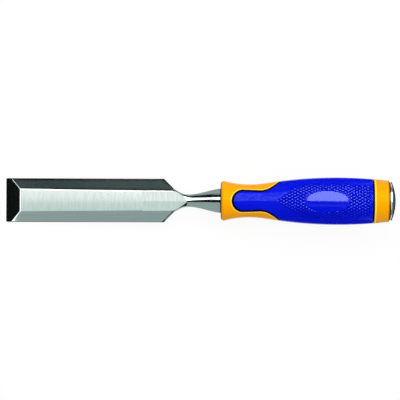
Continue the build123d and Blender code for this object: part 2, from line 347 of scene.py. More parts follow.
def alongFlow(x, places):
    # a smooth cubic from each place to the next. A place is an x, a size and a slope
    value = np.full(x.shape, places[0][1])
    for (x0, size0, slope0), (x1, size1, slope1) in zip(places[:-1], places[1:]):
        length = x1 - x0
        t = np.clip((x - x0) / length, 0, 1)
        cubic = (size0 * (1 - t) ** 2 * (1 + 2 * t) + size1 * t * t * (3 - 2 * t)
                 + length * t * (1 - t) * (slope0 * (1 - t) - slope1 * t))
        value = np.where(x > x0, cubic, value)
    return value


handleForm = {
    "flare": 15.3,  # radius at the front face
    "waist": 12.0,  # radius at the thin place
    "waistFromFront": 21.2,
    "rear": 15.1,  # radius at the rear face, and at the swell as far in front of the belly
    "belly": 17.37,
    "bellyFromRear": 38.0,
}


def handleRadius(x):
    # an arc for the flare, a smooth cubic from the waist to the swell, and an arc for the belly
    form = handleForm
    waistX = frontX + form["waistFromFront"]
    bellyX = rearX - form["bellyFromRear"]
    swellX = bellyX - form["bellyFromRear"]
    fall, rise = form["flare"] - form["waist"], form["belly"] - form["rear"]
    flareRadius = (form["waistFromFront"] ** 2 + fall**2) / (2 * fall)
    bellyRadius = (form["bellyFromRear"] ** 2 + rise**2) / (2 * rise)
    slope = form["bellyFromRear"] / (bellyRadius - rise)
    x = np.asarray(x, float)
    flare = form["waist"] + flareRadius - np.sqrt(flareRadius**2 - np.clip(waistX - x, 0, 30) ** 2)
    swell = alongFlow(x, [(waistX, form["waist"], 0), (swellX, form["rear"], slope)])
    belly = form["belly"] - bellyRadius + np.sqrt(bellyRadius**2 - (x - bellyX) ** 2)
    return np.where(x < waistX, flare, np.where(x < swellX, swell, belly))


seamForm = {
    "tip": 7.8,  # front face to the tip of the tongue
    "nose": 8.35,  # radius of the tongue's nose
    "length": 20.7,  # tip to the narrow place behind the nose
    "neck": 7.85,  # half width there
    "spread": 15.0,  # radius where the seam turns outwards
    "angle": 33.7,  # of the seam's straight run from the axis
    "rearBand": 11.2,  # bare core behind the grip
    "gap": 0.6,
    "columns": 80,  # to each quarter of the handle
    "denseShare": 0.62,  # of the columns, within this angle from the top or bottom
    "denseAngle": 48,
}


def seamQuarter():
    # the seam from the tip to the handle's side: nose arc, side line, spreading arc and a straight
    # run in plan, where y is the radius times the sine of the angle round the axis
    form = seamForm
    nose, neck, spread = form["nose"], form["neck"], form["spread"]
    noseX = frontX + form["tip"] + nose
    neckX = frontX + form["tip"] + form["length"]
    front = arc((noseX, 0), nose, 180, 90, 200)
    side = np.linspace((noseX, nose), (neckX, neck), 150)
    bend = arc((neckX, neck + spread), spread, -90, form["angle"] - 90, 120)
    planX, planY = np.concatenate([front[:-1], side[:-1], bend[:-1]]).T
    startX, startY = bend[-1]
    slope = math.tan(math.radians(form["angle"]))
    firstAngle = np.arcsin(startY / handleRadius(startX))
    runAngle = np.linspace(firstAngle, np.pi / 2, 300)
    runX = np.full(runAngle.shape, startX)
    for _ in range(40):  # x settles, as the handle's radius depends on it
        runX = startX + (handleRadius(runX) * np.sin(runAngle) - startY) / slope
    x = np.concatenate([planX, runX])
    angle = np.concatenate([np.arcsin(planY / handleRadius(planX)), runAngle])
    step = np.hypot(np.diff(x), handleRadius((x[1:] + x[:-1]) / 2) * np.diff(angle))
    return x, angle, np.concatenate([[0], np.cumsum(step)])


def columnAngles():
    # most columns lie over the pips at the top and bottom, fewer over the smooth sides
    count = seamForm["columns"]
    share = np.arange(count + 1) / count
    places = [0, seamForm["denseShare"], 1]
    return np.radians(np.interp(share, places, [0, seamForm["denseAngle"], 90]))


def roundQuarters(amount, growing=False):
    # one quarter's values carried round the handle: there, back, there and back again. Angles
    # go on growing
    there, back = amount[:-1], amount[:0:-1]
    if growing:
        return np.concatenate([there, np.pi - back, np.pi + there, 2 * np.pi - back])
    return np.concatenate([there, back, there, back])


def shorterTurn(start, end):
    # from one angle to another, the shorter way round
    return (end - start + np.pi) % (2 * np.pi) - np.pi


def seamLoop(share):
    # the closed seam at the given shares of each quarter's length, with its inward direction
    x, angle, length = seamQuarter()
    at = share * length[-1]
    loopX = roundQuarters(np.interp(at, length, x))
    loopAngle = roundQuarters(np.interp(at, length, angle), growing=True)
    alongX = np.roll(loopX, -1) - np.roll(loopX, 1)
    turn = shorterTurn(np.roll(loopAngle, 1), np.roll(loopAngle, -1))
    alongAngle = handleRadius(loopX) * turn
    size = np.hypot(alongX, alongAngle)
    return loopX, loopAngle, alongAngle / size, -alongX / size


def offSeam(loop, inward, height):
    # a row of the surface beside the seam: so far inward from it, so high above the handle
    x, angle, normalX, normalAngle = loop
    rowX = x + inward * normalX
    rowAngle = angle + inward * normalAngle / handleRadius(x)
    return rowX, rowAngle, handleRadius(rowX) + height


gripForm = {
    "edgeRounding": 0.65,
    "edgeRows": [(0.12, 0.95), (0.35, 0.75), (0.6, 0.3)],  # distance past the rounding, and the painted shade there
    "bodyStart": 0.8,  # past the rounding, where the even rows start
    "meetX": 205.0,  # behind this the rows are plain circles
    "meetRows": 78,
    "rowSpacing": 0.36,
    "wall": 2.2,
    "wallRows": (255.0, 242.0, 228.0, 214.0, 206.0),
    "pipLength": 4.1,
    "pipWidth": 2.28,
    "pipHeight": 0.56,
    "pipFullness": 1.25,
    "panelTip": 197.6,
    "panelEnd": 266.6,
    "panelHalfWidth": 12.7,
    "panelRearHalfWidth": 11.2,
    "panelNarrows": (240, 267),
    "panelCorner": 3.0,
    "panelFade": 0.5,
    "archLength": 27,  # the panel's pointed front
    "archFullness": 1.8,
    "padCentreFromRear": 45.7,
    "padHalfLength": 15.7,
    "padHalfWidth": 7.8,
    "padHeight": 0.3,
}


def smooth(value, low, high):
    # 0 below low, 1 above high, and a smooth cubic between them
    t = np.clip((value - low) / (high - low), 0, 1)
    return t * t * (3 - 2 * t)


def gripRelief(x, angle):
    # height of pips and pad above the plain handle. Pips are rounded diamonds between two sets of
    # slanting grooves: the lesser of two triangle waves, one in x plus v and one in x minus v,
    # where v runs round the handle from its top or bottom line. With it come the shares of the
    # pad, of the valleys and of the pips' tops
    form = gripForm
    radius = handleRadius(x)
    v = radius * np.arcsin(np.sin(angle))
    y = np.abs(radius * np.sin(angle))
    inX, inV = x / form["pipLength"], v / form["pipWidth"]
    waves = [1 - np.abs(2 * (w - np.floor(w)) - 1) for w in (inX + inV, inX - inV)]
    pip = 1 - (1 - np.minimum(*waves)) ** form["pipFullness"]
    ahead = x - form["panelTip"]
    arch = np.clip(ahead / form["archLength"], 0, 1)
    half = form["panelHalfWidth"] * (1 - (1 - arch) ** form["archFullness"])
    narrowing = form["panelHalfWidth"] - form["panelRearHalfWidth"]
    half = half - narrowing * smooth(x, *form["panelNarrows"])
    left, aside = form["panelEnd"] - x, half - y  # how far it is to the panel's edges
    corner = form["panelCorner"]
    cornered = corner - np.hypot(np.maximum(corner - left, 0), np.maximum(corner - aside, 0))
    inside = np.where((left < corner) & (aside < corner), cornered, np.minimum(left, aside))
    inside = np.where(ahead < 0, -1.0, inside)
    panel = smooth(inside, 0.0, form["panelFade"])
    padX = rearX - form["padCentreFromRear"]
    across = np.minimum(y / form["padHalfWidth"], 3)
    along = np.abs(x - padX) / form["padHalfLength"]
    padInside = 1 - np.minimum((along**2.0 + across**2.4) ** 0.5, 2)
    pad = smooth(padInside, 0.0, 0.05)
    ditch = smooth(padInside, -0.09, -0.03)  # bare ground round the pad
    relief = panel * pip * form["pipHeight"] * (1 - ditch) + pad * form["padHeight"]
    valley = panel * (1 - ditch) * (1 - smooth(pip, 0.2, 0.75))
    top = panel * (1 - ditch) * smooth(pip, 0.6, 0.85)
    return relief, pad, valley, top


def makeGrip(material):
    # a closed tube of rows: up the seam's wall, over its rounded edge, along the handle to circles
    # at the meeting place, on in circles to the rear edge, and back inside the wall
    form = gripForm
    gap, edge, wall = seamForm["gap"], form["edgeRounding"], form["wall"]
    angles = columnAngles()
    loop = seamLoop(np.sin(angles))
    circle = roundQuarters(angles, growing=True)
    turn = np.radians(np.linspace(180, 90, 7))
    rows = [offSeam(loop, gap, height) for height in (-wall, -wall / 2 - edge / 2, -edge - 0.02)]
    rows += [offSeam(loop, gap + edge + edge * c, -edge + edge * s)
             for c, s in zip(np.cos(turn), np.sin(turn))]
    # painted shade over the seam's wall and its rounded edge, fading past it
    paintedEdgeShade = [1.0] * len(rows) + [dark for _, dark in form["edgeRows"]]
    rows += [offSeam(loop, gap + edge + past, 0) for past, _ in form["edgeRows"]]
    startX, startAngle, _ = offSeam(loop, gap + edge + form["bodyStart"], 0)
    steps = 1 - (1 - np.linspace(0, 1, form["meetRows"])) ** 1.35  # closer towards the circles
    rest = shorterTurn(circle, startAngle)
    for t in steps:
        x = startX + (form["meetX"] - startX) * t
        rows.append((x, circle + rest * (1 - t), handleRadius(x)))
    count = int((gripEndX - edge - form["meetX"]) / form["rowSpacing"])
    for x in np.linspace(form["meetX"], gripEndX - edge, count)[1:]:
        rows.append((np.full(circle.shape, x), circle, handleRadius(x)))
    x, angle, radius = grid(rows)
    relief, pad, valley, top = gripRelief(x, angle)
    radius = radius + relief
    rear = arc((gripEndX - edge, 0), edge, 90, 0, 7)[1:]
    back = [(px, circle, handleRadius(gripEndX) - edge + py) for px, py in rear]
    back += [(px, circle, handleRadius(px) - wall) for px in (gripEndX, *form["wallRows"])]
    backX, backAngle, backRadius = grid(back)
    points = roundAxis(np.vstack([x, backX]), np.vstack([radius, backRadius]),
                       np.vstack([angle, backAngle]))
    groove = np.zeros(x.shape)
    groove[:len(paintedEdgeShade)] = np.array(paintedEdgeShade)[:, None]
    # painted shade growing towards the grip's rear edge
    groove = np.maximum(groove, smooth(x, gripEndX - edge - 0.5, gripEndX - edge * 0.3))
    # each share, and what the wall's hidden rows have of it
    shares = {"padShare": (pad, 0.0), "valleyShare": (valley, 0.0), "pipShare": (top, 0.0),
              "grooveShare": (groove, 1.0)}
    values = {name: np.vstack([share, np.full(backX.shape, hidden)])
              for name, (share, hidden) in shares.items()}
    surfacePiece("softGrip", "grip_sleeve", [(points, True)], material, values)


coreForm = {
    "frontRounding": 2.4,
    "rearRounding": 1.0,
    "lipHeight": 0.18,
    "lipWidth": 0.8,
    "rearLipWidth": 1.4,
    "wall": 2.8,
    "hole": 9.15,  # radius round the bolster
    "holeDepth": 3.4,
    "holeChamfer": 0.3,
    "faceMiddle": 11.0,
    "faceShade": (0.9, 0.85, 0.75, 0.65, 0.5, 0.28, 0.1),  # painted shade, from the hole to the rim
    # the most painted shade at the rear edge by the cap
    "rearShade": 0.85,
    "bandColumns": 192,
    "stemHole": 5.1,
    "seatStart": 3.6,  # behind the front face
    "seatDepth": 1.6,
    "seatHole": 6.2,
    "seatColumns": 96,
}


def makeCore(material):
    # the front shell's rows run from the hole round the bolster over the front face and its rim,
    # along the handle to the seam, over the lip, down the seam's wall and back inside
    form = coreForm
    share = np.sin(columnAngles())
    loop = seamLoop(share)
    rimAngle = roundQuarters(np.pi / 2 * share**0.75, growing=True)
    edge = form["frontRounding"]
    rimX = frontX + edge
    rimRadius = handleRadius(rimX)
    hole, chamfer = form["hole"], form["holeChamfer"]
    innerX = frontX + form["holeDepth"]
    rows = [(innerX, hole), (frontX + chamfer, hole), (frontX, hole + chamfer)]
    rows += [(frontX, r) for r in (form["faceMiddle"], rimRadius - edge)]
    rows += [(rimX + px, rimRadius - edge + py) for px, py in arc((0, 0), edge, 180, 90, 9)[1:]]
    front = [(np.full(rimAngle.shape, x), rimAngle, r) for x, r in rows]
    lastX, lastAngle, _ = offSeam(loop, -form["lipWidth"] - 0.15, 0)
    rest = shorterTurn(rimAngle, lastAngle)
    for t in np.linspace(0, 1, 26)[1:]:
        x = rimX + (lastX - rimX) * t
        front.append((x, rimAngle + rest * t, handleRadius(x)))
    lipRows = 8
    for t in np.linspace(0.08, 1, lipRows):
        lift = form["lipHeight"] * math.sin(math.pi * min(t, 0.82) / 0.9)
        front.append(offSeam(loop, -form["lipWidth"] * (1 - t), lift))
    front.append(offSeam(loop, 0, -0.3))
    front.append(offSeam(loop, 0, -form["wall"]))
    bottomX, bottomAngle, _ = front[-1]
    innerRadius = handleRadius(innerX) - form["wall"]
    front.append((innerX + (bottomX - innerX) * 0.1, bottomAngle, innerRadius))
    x, angle, radius = grid(front)
    grids = [(roundAxis(x, radius, angle), True)]
    # the first three rows are the hole, and the last three the seam's wall and the inside
    lipHighlightShare = np.zeros(x.shape)
    # painted highlight over the lip's rows
    lipHighlightShare[-3 - lipRows:-3] = np.sin(np.pi * np.linspace(0.1, 0.95, lipRows))[:, None] ** 0.6
    grooveShare = np.zeros(x.shape)
    # painted shade fills the hole, the seam's wall and the inside
    grooveShare[:3] = grooveShare[-3:] = 1
    # painted shade over the front face and its rounded rim, fading outwards
    grooveShare[3:3 + len(form["faceShade"])] = np.array(form["faceShade"])[:, None]
    shares = [(lipHighlightShare, grooveShare)]
    # the rear band, from its lip over the rounded rear edge to the stem, and back inside
    bandX = rearX - seamForm["rearBand"]
    corner = form["rearRounding"]
    band = [(bandX, handleRadius(bandX) - form["wall"]), (bandX, handleRadius(bandX) - 0.2)]
    for t in np.linspace(0.1, 1, 10):
        px = bandX + form["rearLipWidth"] * t
        band.append((px, handleRadius(px) + form["lipHeight"] * math.sin(math.pi * (1 - t) * 0.9)))
    band += [(px, handleRadius(px)) for px in np.linspace(bandX + 2, rearX - corner, 14)]
    edgeRadius = handleRadius(rearX - corner) - corner
    band += list(arc((rearX - corner, edgeRadius), corner, 90, 0, 8)[1:])
    stemHole = form["stemHole"]
    band += [(rearX, 9.0), (rearX, stemHole), (rearX - 6, stemHole), (bandX + 0.5, edgeRadius - 3)]
    grids.append((turned(band, form["bandColumns"]), True))
    bandAt = np.array(band)[:, 0] - bandX
    bandWidth = rearX - bandX
    # painted highlight over the rear band's lip
    lipHighlightRow = np.sin(np.pi * np.clip(bandAt / form["rearLipWidth"], 0, 1)) ** 0.6
    # painted shade growing towards the rounded rear edge by the cap
    paintedRearShade = form["rearShade"] * smooth(bandAt, bandWidth - 1.3, bandWidth - 0.2)
    # painted shade on the band's wall at the seam, towards the rear edge and over the last rows
    # round the stem
    grooveRow = np.maximum(paintedRearShade, bandAt <= 0)
    grooveRow[-4:] = 1
    shares.append([np.repeat(row[:, None], form["bandColumns"], axis=1)
                   for row in (lipHighlightRow, grooveRow)])
    # the seat under the grip, which is the floor of the seam
    seatX = np.linspace(frontX + form["seatStart"], rearX - 2, 60)
    seat = [(px, handleRadius(px) - form["seatDepth"]) for px in seatX]
    seat += [(px, form["seatHole"]) for px in (seatX[-1], seatX[0])]
    grids.append((turned(seat, form["seatColumns"]), True))
    seatShape = (len(seat), form["seatColumns"])
    # painted shade over the whole seat, which is the floor of the seam
    shares.append((np.zeros(seatShape), np.ones(seatShape)))
    values = {name: np.concatenate([np.ravel(pair[n]) for pair in shares])
              for n, name in enumerate(("lipHighlightShare", "grooveShare"))}
    surfacePiece("hardCore", "handle_core", grids, material, values)


capForm = {
    "rim": 1.9,
    "rounding": 0.35,
    "shadowGroove": 0.4,
    "underside": [(0.0, 0.8), (0.1, 0.65)],  # distance behind the handle, and inside the rim
    "stem": 5.0,
    "stemTip": 4.6,
    "stemChamfer": 0.4,
    "stemGroove": (7.5, 12.5),
    "grooveRadius": 3.8,
}


def makeCap(material):
    # a stem with its groove, a stepped underside, an upright rim and a dome that is part of a ball
    form = capForm
    headRadius = (capHigh.z - capLow.z) / 2
    height = capHigh.x - rearX
    dome = height - form["rim"]
    ball = (headRadius**2 + dome**2) / (2 * dome)
    corner = form["rounding"]
    centreX = capHigh.x - ball
    tilt = math.asin((headRadius - corner * 0.6) / ball)
    stem, grooved = form["stem"], form["grooveRadius"]
    grooveStart, grooveEnd = (capLow.x + along for along in form["stemGroove"])
    profile = [(capLow.x, 0), (capLow.x, form["stemTip"]), (capLow.x + form["stemChamfer"], stem),
               (grooveStart, stem), (grooveStart, grooved), (grooveEnd, grooved),
               (grooveEnd, stem), (rearX, stem)]
    steps = form["underside"] + [(form["shadowGroove"], 0.6)]
    profile += [(rearX + behind, headRadius - inside) for behind, inside in steps]
    # the rim's two rounded edges, and the dome
    rimStart = rearX + form["shadowGroove"] + corner
    rimEnd = rearX + form["rim"] - corner * 0.7
    profile += list(arc((rimStart, headRadius - corner), corner, 180, 90, 6))
    profile += list(arc((rimEnd, headRadius - corner), corner, 90, 30, 6))
    sweep = np.linspace(tilt - 0.02, 0, 40)
    profile += list(np.stack([centreX + ball * np.cos(sweep), ball * np.sin(sweep)], -1))
    surfacePiece("domedCap", "strike_cap", [(turned(profile, 128), False)], material)


bladeForm = {
    "edgeAngle": 23.4,  # the cutting bevel
    "thickness": 4.55,  # where the cutting bevel meets the top face
    "stock": 5.2,  # the most that the ground bar is thick
    "rise": 0.24,  # the top face climbs towards the handle
    "land": 1.65,  # the upright strip along each side
    "landEase": 0.22,  # taken off the strip's upper edge
    "sideAngle": 20.0,  # the long bevels
    "shoulder": 115.65,  # cutting edge to the shoulder's corners
    "cornerBlend": 0.25,  # rounds the shoulder's corner
    "chamfer": 1.15,  # along the shoulders' upper edges
    "rounding": 0.44,
    "edgeWear": 0.16,  # depth of the rounding where the cutting bevel meets the top face
    # the forging's half width and half depth: an X, a size and a slope at each place
    "widths": [(122.9, 8.75, -0.7), (133.2, 4.5, 0.0), (157.3, 9.0, 0.12)],
    "depths": [(122.9, 5.4, 0.0), (133.2, 2.6, 0.0), (157.3, 8.9, 0.276)],
    "runOut": 4.0,  # radius on which the wheel lifts off behind the neck
    "foot": 158.9,
    "tangRoot": 7.6,
    "tangTip": 4.8,
    "barbPitch": 11.0,
    "barbDepth": 0.9,
    "barbs": 4,
    "columns": (9, 7, 3, 6, 9),  # to half of the top, a bevel, its chamfer, a side, half the back
}


def softLess(a, b, blend):
    # the lesser of two values, with the corner between them rounded over blend
    return np.minimum(a, b) - np.maximum(blend - np.abs(a - b), 0) ** 2 / (4 * blend)


def bladeHeights(x):
    # the top is the lesser of the cutting bevel and the gently climbing face, and the back is
    # flat. Behind the neck both leave the steel on the wheel's own radius
    form = bladeForm
    climb = math.tan(math.radians(form["edgeAngle"]))
    rise = math.tan(math.radians(form["rise"]))
    face = form["thickness"] + rise * (x - form["thickness"] / climb)
    top = softLess(climb * x, face, form["edgeWear"] * smooth(x, 2, 6) + 1e-6)
    behind = x - form["widths"][1][0]
    radius = form["runOut"]
    lift = radius - np.sqrt(radius**2 - np.clip(behind, 0, radius * 0.99) ** 2)
    lift = lift + np.maximum(behind - radius, 0)
    return top + lift, -lift


def groundSection(x):
    # half of the ground bar at each x, as six corners of y and z: middle of the top, top edge of
    # the bevel, both edges of the shoulder's chamfer, foot of the side, middle of the back
    form = bladeForm
    half = bladeHigh.y
    climb = math.tan(math.radians(form["sideAngle"]))
    top, low = bladeHeights(x)
    top, low = np.minimum(top, form["stock"]), np.maximum(low, 0)
    side = softLess(np.full(x.shape, half), form["shoulder"] + half - x, form["cornerBlend"])
    crest = form["land"] + (half - side) * climb  # where bevel and side would meet
    # the chamfer takes its size off the shoulder's face and off the bevel: z falls by steep for
    # each millimetre of y
    across = form["chamfer"] * (1 + climb * math.sqrt(0.5))
    fall = across / form["chamfer"] * math.sqrt(0.5)
    steep = fall + climb / 2
    corner = form["land"] - form["chamfer"] + steep * half
    onShoulder = corner - (fall - climb / 2) * (x - form["shoulder"])
    reach = np.minimum(onShoulder, steep * side + crest - form["landEase"])
    upperY = (reach - form["land"] - climb * half) / (steep - climb)
    upperZ = np.minimum(reach - steep * upperY, top)
    lowerZ = np.clip(reach - steep * side, 0, top)

    def sideAt(z):
        bevel = half - (z - form["land"]) / climb
        return np.minimum(np.minimum(side, bevel), (reach - z) / steep)

    flat = np.zeros(x.shape)
    corners = [(flat, top), (sideAt(top), top), (sideAt(upperZ), upperZ), (sideAt(lowerZ), lowerZ),
               (side, low), (flat, low)]
    return np.array(corners).transpose(2, 0, 1)


def roundedPath(corners, rounding, counts):
    # points along each straight run, and at each inner corner a parabola from rounding before it
    # to rounding after it
    step = np.diff(corners, axis=1)
    length = np.linalg.norm(step, axis=2)
    along = step / np.maximum(length, 1e-9)[..., None]
    inset = np.minimum(rounding, 0.42 * np.minimum(length[:, :-1], length[:, 1:]))
    before = corners[:, 1:-1] - along[:, :-1] * inset[..., None]
    after = corners[:, 1:-1] + along[:, 1:] * inset[..., None]
    parts = []
    for n, count in enumerate(counts):
        start = corners[:, 0] if n == 0 else after[:, n - 1]
        end = corners[:, -1] if n == len(counts) - 1 else before[:, n]
        share = np.linspace(0, 1, count)[None, :, None]
        parts.append(start[:, None] * (1 - share) + end[:, None] * share)
        if n < len(counts) - 1:
            turn = np.array([0.25, 0.5, 0.75])[None, :, None]
            parts.append(before[:, n, None] * (1 - turn) ** 2 + after[:, n, None] * turn**2
                         + 2 * corners[:, n + 1, None] * turn * (1 - turn))
    return np.concatenate(parts, axis=1)


def forgedSection(x, startAngle, firstSide, lastSide):
    # half of the forging's oval, y = width sin a and z = axis + depth cos a, cut flat above and
    # below by the wheel. The angles start where the ground section's columns are and even out
    # towards the handle
    form = bladeForm
    width, depth = (alongFlow(x, form[name])[:, None] for name in ("widths", "depths"))
    top, low = (height[:, None] for height in bladeHeights(x))
    least = 0.25 + 0.3 * smooth(x, 128, 140)[:, None]  # the angle that the cuts keep
    upper = np.maximum(np.arccos(np.clip((top - axisHeight) / depth, -1, 1)), least)
    lower = np.minimum(np.arccos(np.clip((low - axisHeight) / depth, -1, 1)), np.pi - least)
    first, last = startAngle[firstSide], startAngle[lastSide]
    count = np.arange(len(startAngle))
    between = np.clip((startAngle - first) / (last - first), 0, 1)
    onSide = upper + between * (lower - upper)
    onTop = np.arcsin(np.sin(upper) * np.clip(np.sin(startAngle) / math.sin(first), 0, 1))
    onBack = np.pi - np.arcsin(np.sin(lower) * np.clip(np.sin(startAngle) / math.sin(last), 0, 1))
    angle = np.where(count < firstSide, onTop, np.where(count > lastSide, onBack, onSide))
    even = np.pi * count / count[-1]
    share = smooth(x, 126, 138)[:, None]
    angle = angle * (1 - share) + even * share
    z = axisHeight + depth * np.cos(angle)
    z = softLess(z, top, 0.03)
    z = -softLess(-z, -low, 0.03)
    return np.stack([width * np.sin(angle), z], axis=-1)


def tangRows():
    # a square bar that tapers to a point, with barbs cut into both sides
    form = bladeForm
    root, tip = form["tangRoot"] / 2, form["tangTip"] / 2
    start, end = form["foot"] - 0.4, bladeHigh.x - 4
    cuts = [form["foot"] + (n + 1) * form["barbPitch"] for n in range(form["barbs"])]
    rows = [(start, 0, 0), (start, 1, 0)]
    for x in cuts:
        rows += [(x - 1.8, 1, 0), (x - 0.02, 1, form["barbDepth"]), (x, 1, 0)]
    rows += [(end, 1, 0), (bladeHigh.x, 0.5, 0), (bladeHigh.x, 0, 0)]
    rows = np.array(rows)
    half = (root + (tip - root) * np.clip((rows[:, 0] - start) / (end - start), 0, 1)) * rows[:, 1]
    corner = np.array([(1, 1), (1, 0), (1, -1), (0, -1), (-1, -1), (-1, 0), (-1, 1), (0, 1)])
    y = corner[None, :, 0] * (half - rows[:, 2])[:, None]
    z = axisHeight + corner[None, :, 1] * half[:, None]
    return np.stack([np.repeat(rows[:, :1], 8, axis=1), y, z], axis=-1)


def makeBlade(material):
    # one skin from the cutting edge to the bolster's foot: a row of points round the section at
    # each x. The ground bar turns into the forged oval between the shoulders
    form = bladeForm
    crease = form["thickness"] / math.tan(math.radians(form["edgeAngle"]))
    start, width, _ = form["widths"][0]
    depth = form["depths"][0][1]
    # rows from one x to another, close together where the shape turns
    spans = [(0.02, 0.4, 4), (0.8, 3.5, 5), (3.7, 4.8, 11), (5.3, 9.0, 6),
             (crease - 0.9, crease + 0.9, 22), (12, 112, 26), (113.2, 116.6, 24),
             (116.8, start, 30), (start + 0.2, 134, 56), (134.4, frontX, 56),
             (frontX + 0.5, form["foot"] - 0.1, 3)]
    x = np.concatenate([[0.0]] + [np.linspace(*span) for span in spans])
    counts = form["columns"]
    ground = roundedPath(groundSection(x), form["rounding"], counts)
    firstSide = counts[0] + 1
    lastSide = ground.shape[1] - counts[-1] - 2
    at = np.argmin(np.abs(x - start))
    startAngle = np.arctan2(ground[at, :, 0] / width, (ground[at, :, 1] - axisHeight) / depth)
    forged = forgedSection(x, startAngle, firstSide, lastSide)
    share = smooth(x, start - 0.3, start + 2.1)[:, None, None]
    section = ground * (1 - share) + forged * share
    half = np.concatenate([np.repeat(x[:, None, None], section.shape[1], axis=1), section], axis=2)
    mirrored = half[:, -2:0:-1] * np.array([1, -1, 1])
    rows = np.concatenate([half, mirrored], axis=1)
    back = rows[-1:].copy()
    back[..., 0] = form["foot"]
    pole = back.copy()
    pole[..., 1:] = (0, axisHeight)
    skin = np.concatenate([rows, back, pole])
    surfacePiece("groundBlade", "blade", [(skin, False), (tangRows(), False)], material)


makeBlade(newMaterial("ground tool steel", groundSteel))
makeCore(newMaterial("satin moulded polypropylene", mouldedPlastic))
makeGrip(newMaterial("matte moulded rubber", mouldedRubber))
makeCap(newMaterial("polished turned steel", turnedSteel))

black = (0.003, 0.004, 0.004)
teal = (0.07, 0.12, 0.125)
sceneNow = bpy.context.scene
middleX = (bladeLow.x + capHigh.x) / 2
stageForm = {
    "floorSize": 6000.0,
    "floorGap": 0.06,
    "floorShade": 0.92,  # share of plain white, so that the rest shows the shadow
    "fill": 0.62,  # grey of the room
    "softboxHeight": 1200.0,
    "softboxLength": 3000.0,
    "softboxReach": 50.0,  # degrees from straight up, towards +Y
    "softboxStrength": 2.4,
    "softboxTurn": -17.0,  # degrees round the upright
    "lampStrength": 1.76,
    "tentRadius": 2300.0,
    "tentReach": 2600,  # half its length
    "tentEdge": 95,  # degrees from straight up down to its edges
    "tentColumns": 77,
    "tentBlack": (0.008, 0.01, 0.01),
    "grey": (0.365, 0.44, 0.434),
    "tentStops": [(-95, 1), (-15, 1), (-12, 0), (-0.5, 0), (0.5, 2), (52, 2), (54, 0), (56, 0),
                  (58, 1)],  # degrees from straight up towards +Y, and black, grey or softbox
}
# the tool lies on its cutting edge and on the lowest point of the handle that a ruler would meet
lyingX = np.linspace(frontX + 1.2, rearX, 400)
floorSlope = float(np.min((axisHeight - handleRadius(lyingX)) / lyingX))


def floorHeight(x):
    # the floor slopes under the tool, because the handle is thicker than the blade
    return floorSlope * x - stageForm["floorGap"]


def lightPathShare(add):
    # 1 for what the camera, a reflection or a glass sees directly
    path = add("LightPath")
    seen = path.outputs["Is Camera Ray"]
    for kind in ("Is Glossy Ray", "Is Transmission Ray"):
        seen = add("Math", {0: seen, 1: path.outputs[kind]}, operation="MAXIMUM")
    return seen


def stagePiece(name, points, faces, material, onlyReflected=True):
    # a piece of the studio, which isn't part of the tool
    piece = newPiece(name, points, faces, material)
    if onlyReflected:
        piece.visible_camera = piece.visible_diffuse = False
        piece.visible_shadow = piece.visible_transmission = False
    return piece


def whiteSweep(add):
    # plain white, and on top of it a share of the tool's soft shadow
    plain = add("BsdfDiffuse", {"Color": "#f2f2f2"})
    glow = add("Emission", {"Color": (1, 1, 1, 1), "Strength": 1.0})
    share = add("Math", {
        0: lightPathShare(add), 1: stageForm["floorShade"]}, operation="MULTIPLY")
    return add("MixShader", {0: share, 1: plain, 2: glow})


def makeFloor():
    # one large square
    size = stageForm["floorSize"]
    corners = [(middleX + sx * size, sy * size, floorHeight(middleX + sx * size))
               for sx, sy in ((-1, -1), (1, -1), (1, 1), (-1, 1))]
    material = newMaterial("white sweep", whiteSweep)
    stagePiece("whiteFloor", corners, [(0, 1, 2, 3)], material, onlyReflected=False)


def makeSoftbox():
    # the lamp that lights the tool. Reflections see the tent's bright part in its place
    form = stageForm
    height, turn = form["softboxHeight"], math.radians(form["softboxTurn"])
    reach = height * math.tan(math.radians(form["softboxReach"]))
    lamp = bpy.data.lights.new("softbox", "AREA")
    lamp.shape = "RECTANGLE"
    lamp.size = form["softboxLength"] * mm
    lamp.size_y = reach * mm
    lamp.energy = form["lampStrength"] * math.pi * lamp.size * lamp.size_y
    softbox = newObject("softbox", lamp)
    x, y = middleX - math.sin(turn) * reach / 2, math.cos(turn) * reach / 2
    softbox.location = (x * mm, y * mm, height * mm)
    softbox.rotation_euler = (0, 0, turn)
    softbox.visible_camera = softbox.visible_glossy = False


def tentGlow(add):
    # a brightness for each angle from straight up, with the softbox where the lamp is
    form = stageForm
    edge, brightest = form["tentEdge"], form["softboxStrength"]
    place = add("TexCoord").outputs["Object"]
    split = add("SeparateXYZ", {0: place})
    turn = add("Math", {0: split.outputs["Y"], 1: split.outputs["Z"]}, operation="ARCTAN2")
    share = add("MapRange", {
        "Value": turn, "From Min": math.radians(-edge), "From Max": math.radians(edge)})
    ramp = add("ValToRGB", {0: share})
    grey = tuple(part / brightest for part in form["grey"])
    shades = [(*form["tentBlack"], 1), (*grey, 1), (1, 1, 1, 1)]
    elements = ramp.color_ramp.elements
    while len(elements) < len(form["tentStops"]):
        elements.new(0.5)
    for element, (degrees, shade) in zip(elements, form["tentStops"]):
        element.position = (degrees + edge) / (2 * edge)
        element.color = shades[shade]
    return add("Emission", {"Color": ramp, "Strength": brightest})


def makeTent():
    # a half tube over the tool, which only reflections see: a row of circle points at each end
    form = stageForm
    edge, count = form["tentEdge"], form["tentColumns"]
    radius, reach = form["tentRadius"], form["tentReach"]
    angle = np.radians(np.linspace(-edge, edge, count))
    rows = [np.stack([np.full(count, x), radius * np.sin(angle), radius * np.cos(angle)], -1)
            for x in (-reach, reach)]
    first, second = np.arange(2 * count).reshape(2, count)
    faces = np.stack([first[:-1], first[1:], second[1:], second[:-1]], -1)
    material = newMaterial("studio tent", tentGlow)
    tent = stagePiece("reflectionTent", np.concatenate(rows), faces.tolist(), material)
    tent.location = (middleX * mm, 0, 0)
    tent.rotation_euler = (0, 0, math.radians(form["softboxTurn"]))


